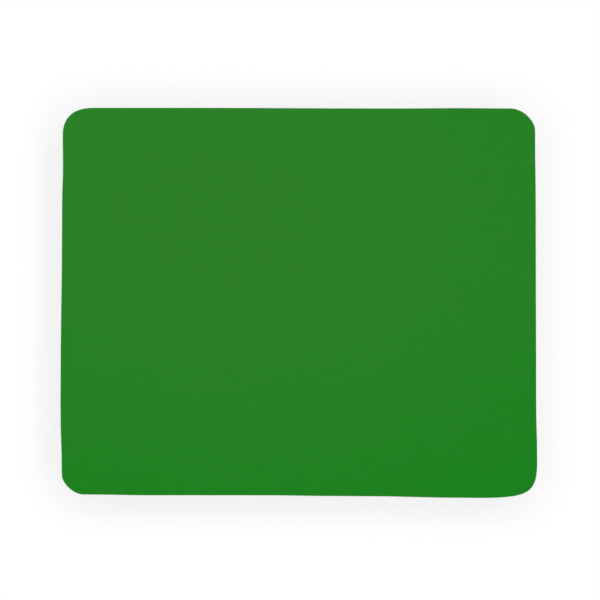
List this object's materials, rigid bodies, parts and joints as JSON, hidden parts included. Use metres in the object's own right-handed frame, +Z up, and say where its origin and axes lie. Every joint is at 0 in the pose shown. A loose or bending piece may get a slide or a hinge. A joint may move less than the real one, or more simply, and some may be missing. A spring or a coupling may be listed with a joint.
{
  "type": "mouse pad",
  "caption": "Thin oblong desk pad with rounded corners: a smooth green cloth face bonded to sponge rubber, with a ribbed non-slip underside for a computer mouse.",
  "frame": {"origin": "middle of the pad's outline, on the plane of the desk that it lies on", "axes": "+X along the pad's width to the user's right, +Y towards the edge furthest from the user, +Z up out of the cloth"},
  "size_m": [0.22, 0.18, 0.003],
  "materials": {
    "grip_skin": "matt black solid rubber with a moulded wave tread",
    "sponge_core": "matt black sponge rubber, open pores on its cut edge",
    "adhesive_film": "thin milky hot-melt film",
    "cloth_top": "plain dyed green knitted polyester, matt, very fine and smooth"
  },
  "bodies": {
    "root": {"grip_skin": "grip_skin", "sponge_core": "sponge_core", "adhesive_film": "adhesive_film", "cloth_top": "cloth_top"}
  },
  "joints": []
}
